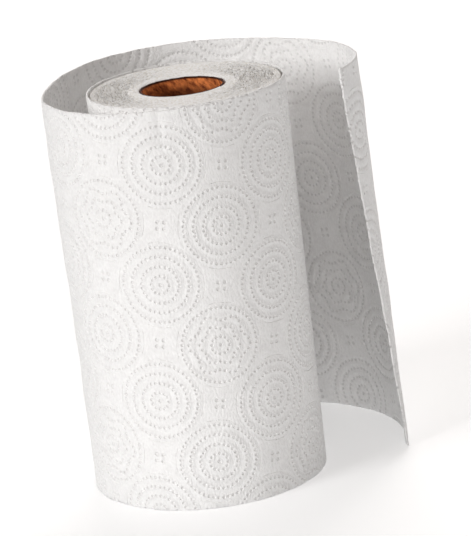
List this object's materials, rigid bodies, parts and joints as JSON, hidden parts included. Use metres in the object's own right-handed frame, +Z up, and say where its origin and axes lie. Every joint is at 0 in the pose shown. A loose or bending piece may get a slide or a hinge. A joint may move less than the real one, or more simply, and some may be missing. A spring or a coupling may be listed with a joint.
{
  "type": "paper towel roll",
  "caption": "White embossed kitchen paper wound on a brown card core, standing on its end with the outermost turn pulled loose in a wide loop round the roll.",
  "frame": {"origin": "on the core's axis, at the end that the roll stands on", "axes": "+Z up along the core's axis, -Y towards the front, +X towards the side where the free end of the web stands"},
  "size_m": [0.179, 0.1713, 0.22],
  "materials": {
    "card": "uncoated brown card, matt and fibrous",
    "paper": "soft white creped tissue, embossed, matt"
  },
  "bodies": {
    "root": {"card_core": "card", "paper_web": "paper"}
  },
  "joints": []
}
